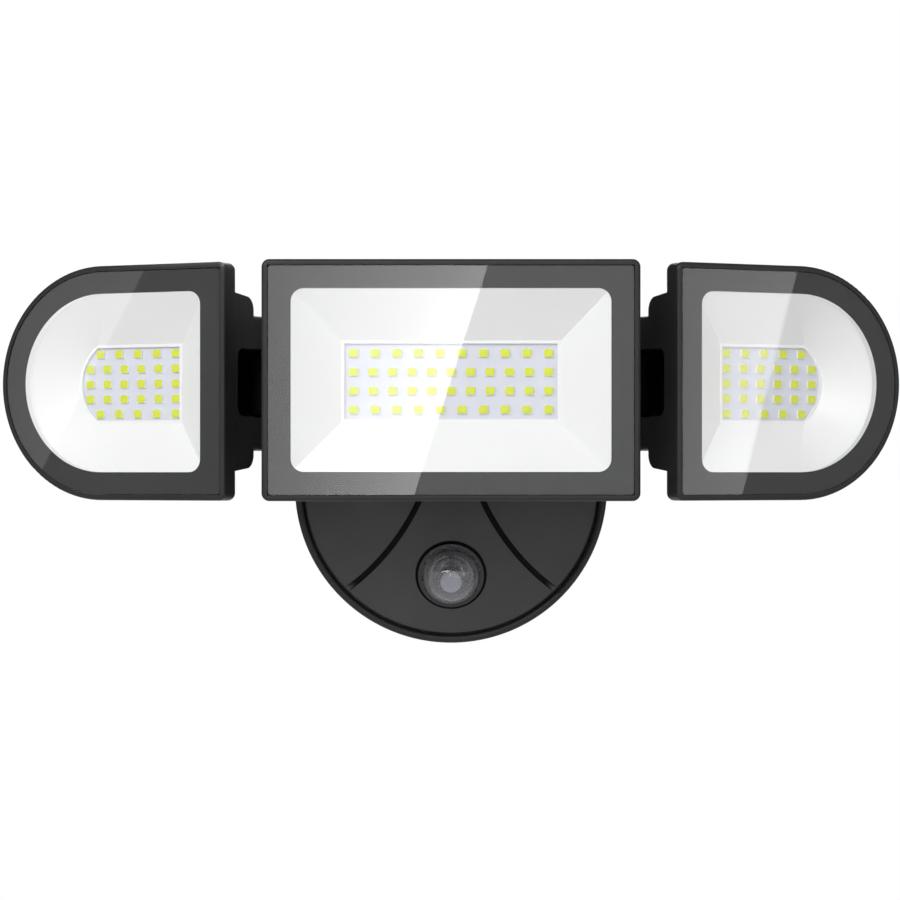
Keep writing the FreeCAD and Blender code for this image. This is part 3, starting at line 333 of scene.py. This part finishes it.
def turn(head):
    """From a head's own directions to the lamp's: the side heads are turned outwards."""
    return Matrix.Rotation(OUTWARD[head] * SIDE_YAW, 4, "Z")


def own_box(node, head):
    """A node's lowest and highest corners measured along its head's own directions."""
    back = turn(head).inverted()
    spots = [back @ vertex.co for vertex in frame["nodes"][node].data.vertices]
    low = Vector(min(spot[axis] for spot in spots) for axis in range(3))
    high = Vector(max(spot[axis] for spot in spots) for axis in range(3))
    return low, high


def arc_points(centre, radius, start, end, count):
    """Points on an arc, as (x, z), from one angle to another in degrees."""
    angles = [math.radians(start + (end - start) * step / (count - 1)) for step in range(count)]
    return [(centre[0] + radius * math.cos(a), centre[1] + radius * math.sin(a)) for a in angles]


def bridge(mesh, near, far):
    """Faces between two loops of the same number of vertices."""
    count = len(near)
    return [
        mesh.faces.new((near[i], near[(i + 1) % count], far[(i + 1) % count], far[i]))
        for i in range(count)
    ]


def new_object(name, mesh, materials):
    """Turns a bmesh into an object in the scene."""
    data = bpy.data.meshes.new(name)
    mesh.to_mesh(data)
    mesh.free()
    for material in materials:
        data.materials.append(material)
    thing = bpy.data.objects.new(name, data)
    bpy.context.scene.collection.objects.link(thing)
    return thing


def head_piece(name, mesh, head, *materials):
    """A piece modelled along its head's own directions, which rides on that head."""
    bmesh.ops.recalc_face_normals(mesh, faces=mesh.faces)
    mesh.transform(turn(head))
    piece = new_object(name, mesh, materials)
    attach(piece, head + "_head")
    return piece


def stage_piece(name, mesh, material):
    thing = new_object(name, mesh, [material])
    return thing


# ------------------------------------------------------------------ printed borders

# From the glass's edge to the clear window's.
WINDOW_INSET = {"center": 8.7 * MM, "left": 8.6 * MM, "right": 8.6 * MM}
WINDOW_CORNER = 5 * MM

# From the glass's edge to the print's, and the print's corner there.
PRINT_INSET = 0.1 * MM
PRINT_CORNER = 1.1 * MM

# The print lies just behind the glass's face.
PRINT_DEPTH = 0.05 * MM
PRINT_THICKNESS = 0.05 * MM

HALF_ROUND_STEPS = 48
OUTLINE_CORNER_STEPS = 10


def outline(head, low, high, inset, corner):
    """A head's outline inside a box: a rounded rectangle, or a shape with one half-round end.
    Every outline of a head has the same number of points."""
    left, right = low.x + inset, high.x - inset
    bottom, top = low.z + inset, high.z - inset
    corners = (
        (right - corner, bottom + corner, -90, 0),
        (right - corner, top - corner, 0, 90),
        (left + corner, top - corner, 90, 180),
        (left + corner, bottom + corner, 180, 270),
    )
    middle, half = (bottom + top) / 2, (top - bottom) / 2
    points = []
    if OUTWARD[head] > 0:
        points += arc_points((right - half, middle), half, -90, 90, HALF_ROUND_STEPS)
        corners = corners[2:]
    elif OUTWARD[head] < 0:
        corners = corners[:2]
    for x, z, start, end in corners:
        points += arc_points((x, z), corner, start, end, OUTLINE_CORNER_STEPS)
    if OUTWARD[head] < 0:
        points += arc_points((left + half, middle), half, 90, 270, HALF_ROUND_STEPS)
    return points


def make_border(head):
    """The black border printed on a head's glass, round the clear window. It casts no shadow, so
    that the reflector's edge is as bright as its middle."""
    low, high = own_box(head + "_glass", head)
    outer = outline(head, low, high, PRINT_INSET, PRINT_CORNER)
    inner = outline(head, low, high, WINDOW_INSET[head], WINDOW_CORNER)
    front = low.y + PRINT_DEPTH
    back = front + PRINT_THICKNESS
    mesh = bmesh.new()
    loops = [
        [mesh.verts.new((x, depth, z)) for x, z in points]
        for points, depth in ((outer, front), (inner, front), (inner, back), (outer, back))
    ]
    for level, loop in enumerate(loops):
        bridge(mesh, loop, loops[(level + 1) % len(loops)])
    border = head_piece(head + "_printed_border", mesh, head, PAINTED_BORDER_SHADES[head])
    border.visible_shadow = False
    border.visible_diffuse = False


# ------------------------------------------------------------------ LEDs

# Vertices of one block that are closer than this are the same.
SAME_PLACE = 0.01 * MM

CASE_HALF = (1.8 * MM, 1.6 * MM)
CASE_DEPTH = 0.78 * MM
CASE_CORNER_STEPS = 6
RIM = 0.05 * MM

# The package's section from its back edge round its rim to the middle of its resin. Each level is
# an inset from the case's side, a corner radius and a depth behind the front.
PACKAGE_LEVELS = (
    (0.0, 0.25 * MM, CASE_DEPTH),
    (0.0, 0.25 * MM, 0.08 * MM),
    (0.03 * MM, 0.25 * MM, 0.0),
    (RIM, 0.6 * MM, 0.0),
    (RIM + 0.08 * MM, 0.6 * MM, 0.1 * MM),
    (RIM + 0.5 * MM, 0.5 * MM, 0.05 * MM),
    (RIM + 0.9 * MM, 0.3 * MM, 0.02 * MM),
)
FIRST_RESIN_LEVEL = 3


def package_centres(head):
    """The front middle of each LED package, along the head's own directions."""
    mesh = bmesh.new()
    mesh.from_mesh(frame["nodes"][head + "_leds"].data)
    mesh.transform(turn(head).inverted())
    bmesh.ops.remove_doubles(mesh, verts=mesh.verts, dist=SAME_PLACE)
    centres = []
    waiting = set(mesh.verts)
    while waiting:
        island = [waiting.pop()]
        for vertex in island:
            for edge in vertex.link_edges:
                other = edge.other_vert(vertex)
                if other in waiting:
                    waiting.remove(other)
                    island.append(other)
        xs, ys, zs = zip(*(vertex.co for vertex in island))
        centres.append(((min(xs) + max(xs)) / 2, min(ys), (min(zs) + max(zs)) / 2))
    mesh.free()
    return sorted(centres)


def rounded_rectangle(inset, corner):
    """A package's outline, as (x, z), inset evenly from its case."""
    half_x, half_z = CASE_HALF[0] - inset, CASE_HALF[1] - inset
    points = []
    for x, z, start in ((1, -1, -90), (1, 1, 0), (-1, 1, 90), (-1, -1, 180)):
        centre = (x * (half_x - corner), z * (half_z - corner))
        points += arc_points(centre, corner, start, start + 90, CASE_CORNER_STEPS)
    return points


def add_package(mesh, centre):
    """One LED: a white case round a sunken bed of yellow resin that domes a little."""
    loops = [
        [
            mesh.verts.new((centre[0] + x, centre[1] + depth, centre[2] + z))
            for x, z in rounded_rectangle(inset, corner)
        ]
        for inset, corner, depth in PACKAGE_LEVELS
    ]
    resin = []
    for level, (near, far) in enumerate(zip(loops, loops[1:])):
        faces = bridge(mesh, near, far)
        if level >= FIRST_RESIN_LEVEL:
            resin += faces
    resin.append(mesh.faces.new(loops[-1]))
    mesh.faces.new(reversed(loops[0]))
    for face in resin:
        face.material_index = 1


def make_leds(head):
    mesh = bmesh.new()
    for centre in package_centres(head):
        add_package(mesh, centre)
    leds = head_piece(head + "_led_packages", mesh, head, LED_CASE, FINISHES["led_phosphor"])
    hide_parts(head + "_leds")


# ------------------------------------------------------------------ camera and surround

# The camera looks straight at the wall; its distance is from the lamp's front.
CAMERA_DISTANCE = 1.052
CAMERA_HEIGHT = 0.0063
FOCAL_LENGTH = 110.9
SENSOR_WIDTH = 36
LENS_SHIFT = (-0.0011, 0.0238)

SURROUND_RADIUS = 6
FLOOR_RADIUS = 1.5
FLOOR_DROP = 0.35

# The surrounding light's strength in front of the lamp and behind it, and how much of it is left
# below the lamp.
WORLD_FRONT = 0.52
WORLD_BACK = 0.03
WORLD_BELOW = 0.45


def make_camera():
    data = bpy.data.cameras.new("camera")
    data.lens = FOCAL_LENGTH
    data.sensor_width = SENSOR_WIDTH
    data.shift_x, data.shift_y = LENS_SHIFT
    camera = bpy.data.objects.new("camera", data)
    bpy.context.scene.collection.objects.link(camera)
    camera.location = (0, cad_box[0].y - CAMERA_DISTANCE, CAMERA_HEIGHT)
    camera.rotation_euler = (math.radians(90), 0, 0)
    bpy.context.scene.camera = camera
    return camera


def emission(name, strength):
    """A material that gives off white light."""
    material = bpy.data.materials.new(name)
    material.use_nodes = True
    tree = material.node_tree
    tree.nodes.remove(tree.nodes["Principled BSDF"])
    light = tree.nodes.new("ShaderNodeEmission")
    light.inputs["Color"].default_value = (1, 1, 1, 1)
    light.inputs["Strength"].default_value = strength
    tree.links.new(light.outputs["Emission"], tree.nodes["Material Output"].inputs["Surface"])
    return material


def make_backdrop():
    """A white surround that only the camera sees, and a pale floor well below the lamp."""
    mesh = bmesh.new()
    bmesh.ops.create_icosphere(mesh, subdivisions=4, radius=SURROUND_RADIUS)
    surround = stage_piece("white_surround", mesh, emission("surround_white", 1.0))
    surround.visible_diffuse = False
    surround.visible_glossy = False
    surround.visible_shadow = False
    surround.visible_volume_scatter = False

    mesh = bmesh.new()
    bmesh.ops.create_circle(mesh, cap_ends=True, segments=96, radius=FLOOR_RADIUS)
    mesh.transform(Matrix.Translation((0, 0, cad_box[0].z - FLOOR_DROP)))
    floor = Finish("pale_floor", (0.85, 0.85, 0.85))
    floor.vary_roughness(floor.noise(30), 0.5, 0.7)
    stage_piece("floor", mesh, floor.material)


def make_world():
    """A soft surround: bright in front of the lamp, dim below it and dark behind it, so that
    its outlines stay crisp."""
    world = bpy.data.worlds.new("studio")
    bpy.context.scene.world = world
    world.use_nodes = True
    tree = world.node_tree
    background = tree.nodes["Background"]
    background.inputs["Color"].default_value = (1, 1, 1, 1)
    direction = tree.nodes.new("ShaderNodeTexCoord").outputs["Generated"]
    parts = tree.nodes.new("ShaderNodeSeparateXYZ")
    tree.links.new(direction, parts.inputs["Vector"])
    by_depth = map_range(tree, parts.outputs["Y"], 0.0, 0.5, WORLD_FRONT, WORLD_BACK)
    by_height = map_range(tree, parts.outputs["Z"], -0.5, 0.2, WORLD_BELOW, 1.0)
    tree.links.new(multiply(tree, by_depth, by_height), background.inputs["Strength"])


# ------------------------------------------------------------------ lights

# Each area light's place, its width and height, and its power. All face one point of the lamp.
AREA_LIGHTS = {
    "key": ((-0.7, -1.5, 0.9), (1.2, 1.0), 20),
    "fill": ((0.9, -1.5, 0.4), (1.4, 1.4), 4),
    "back": ((0, 1.6, 0.4), (0.8, 0.8), 14),
}
LIT_POINT = (0, -0.06, 0.02)

# A narrow soft spot from above on the inner side of the left head.
ACCENT_PLACE = (0.03, -0.18, 0.5)
ACCENT_TARGET = (-0.088, -0.09, 0.108)
ACCENT_POWER = 80
ACCENT_CONE = math.radians(6.5)
ACCENT_SOFTNESS = 0.015


def hang_light(data, place, target, power):
    """Puts a light at a place, turned to a target."""
    data.energy = power
    light = bpy.data.objects.new(data.name, data)
    bpy.context.scene.collection.objects.link(light)
    light.location = place
    light.rotation_mode = "QUATERNION"
    light.rotation_quaternion = (Vector(target) - Vector(place)).to_track_quat("-Z", "Y")
    light.visible_camera = False


def make_lights():
    for name, (place, size, power) in AREA_LIGHTS.items():
        data = bpy.data.lights.new(name, "AREA")
        data.shape = "RECTANGLE"
        data.size, data.size_y = size
        hang_light(data, place, LIT_POINT, power)

    accent = bpy.data.lights.new("accent", "SPOT")
    accent.spot_size = ACCENT_CONE
    accent.spot_blend = 1.0
    accent.shadow_soft_size = ACCENT_SOFTNESS
    hang_light(accent, ACCENT_PLACE, ACCENT_TARGET, ACCENT_POWER)


# Each glass mirrors a softbox card with one slanting edge. EDGE is where that edge lies on the
# glass's top and bottom, REACH is where the card's light ends, and POWER is its strength at each.
# They are measured to the right, from the centre head's middle or a side head's flat end.
GLARE_EDGE = {
    "center": (14 * MM, -14 * MM),
    "left": (-36 * MM, -89 * MM),
    "right": (54 * MM, 29 * MM),
}
GLARE_REACH = {"center": -90 * MM, "left": -190 * MM, "right": -60 * MM}
GLARE_POWER = {"center": (5.5, 0.9), "left": (1.6, 0.9), "right": (3.3, 2.0)}
GLASS_TO_FLAT_END = 2.4 * MM

# How far in front of the glass a card hangs, and how far its light goes past the glass's top and
# bottom.
CARD_DISTANCE = 1.6
CARD_MARGIN = 40 * MM


def glare_finish(head):
    """Light that fades away from the card's slanting edge, along its first UV direction."""
    near, far = GLARE_POWER[head]
    material = emission(head + "_glare", near)
    tree = material.node_tree
    along = tree.nodes.new("ShaderNodeUVMap").outputs["UV"]
    parts = tree.nodes.new("ShaderNodeSeparateXYZ")
    tree.links.new(along, parts.inputs["Vector"])
    fade = map_range(tree, parts.outputs["X"], 0.0, 1.0, near, far)
    tree.links.new(fade, tree.nodes["Emission"].inputs["Strength"])
    return material


def make_glare_card(head, camera):
    """A softbox card whose slanting edge is mirrored in the glass as the camera sees it."""
    rotation = turn(head)
    low, high = own_box(head + "_glass", head)
    eye = rotation.inverted() @ camera.location
    mirrored = Vector((eye.x, 2 * low.y - eye.y, eye.z))
    growth = (mirrored.y - low.y + CARD_DISTANCE) / (mirrored.y - low.y)
    start = {
        "center": 0, "left": high.x + GLASS_TO_FLAT_END, "right": low.x - GLASS_TO_FLAT_END,
    }[head]
    top, bottom = GLARE_EDGE[head]
    slant = (top - bottom) / (high.z - low.z) * CARD_MARGIN
    corners = (
        (start + top + slant, high.z + CARD_MARGIN, 0),
        (start + bottom - slant, low.z - CARD_MARGIN, 0),
        (start + GLARE_REACH[head], low.z - CARD_MARGIN, 1),
        (start + GLARE_REACH[head], high.z + CARD_MARGIN, 1),
    )
    mesh = bmesh.new()
    fade = mesh.loops.layers.uv.new("fade")
    face = mesh.faces.new([
        mesh.verts.new(mirrored + (Vector((x, low.y, z)) - mirrored) * growth)
        for x, z, _ in corners
    ])
    for loop, (_, _, along) in zip(face.loops, corners):
        loop[fade].uv = (along, 0.5)
    mesh.transform(rotation)
    card = stage_piece(head + "_glare_card", mesh, glare_finish(head))
    card.visible_camera = False
    card.visible_diffuse = False
    card.visible_shadow = False


# ------------------------------------------------------------------ the whole scene

dress_nodes()
for head in HEADS:
    make_border(head)
    make_leds(head)

bpy.context.scene.view_settings.view_transform = "Standard"
camera = make_camera()
make_backdrop()
make_world()
make_lights()
for head in HEADS:
    make_glare_card(head, camera)
